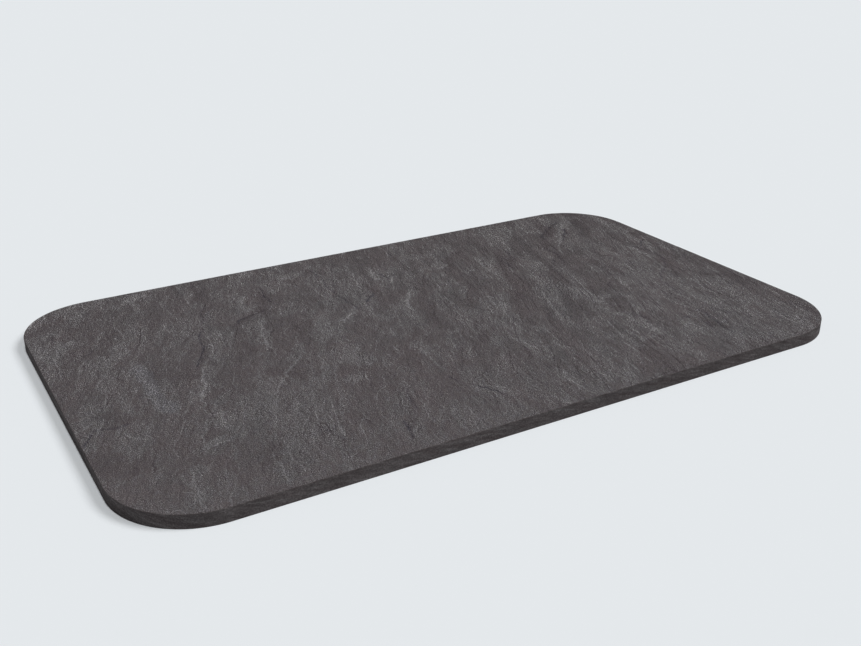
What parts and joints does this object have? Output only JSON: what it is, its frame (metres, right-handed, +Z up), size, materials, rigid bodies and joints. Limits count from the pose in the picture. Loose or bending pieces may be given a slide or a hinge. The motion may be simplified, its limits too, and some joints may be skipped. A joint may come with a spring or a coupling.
{
  "type": "slate slab",
  "caption": "Flat rectangular slab of natural slate with a riven top face, sawn straight sides, rounded corners and a flat underside to rest on.",
  "frame": {"origin": "middle of the flat underside", "axes": "+X along the slab's length, +Y across its width, +Z up out of its top face"},
  "size_m": [1, 0.6, 0.0175],
  "materials": {
    "slate": "matte"
  },
  "bodies": {
    "root": {"slate_slab": "slate"}
  },
  "joints": []
}
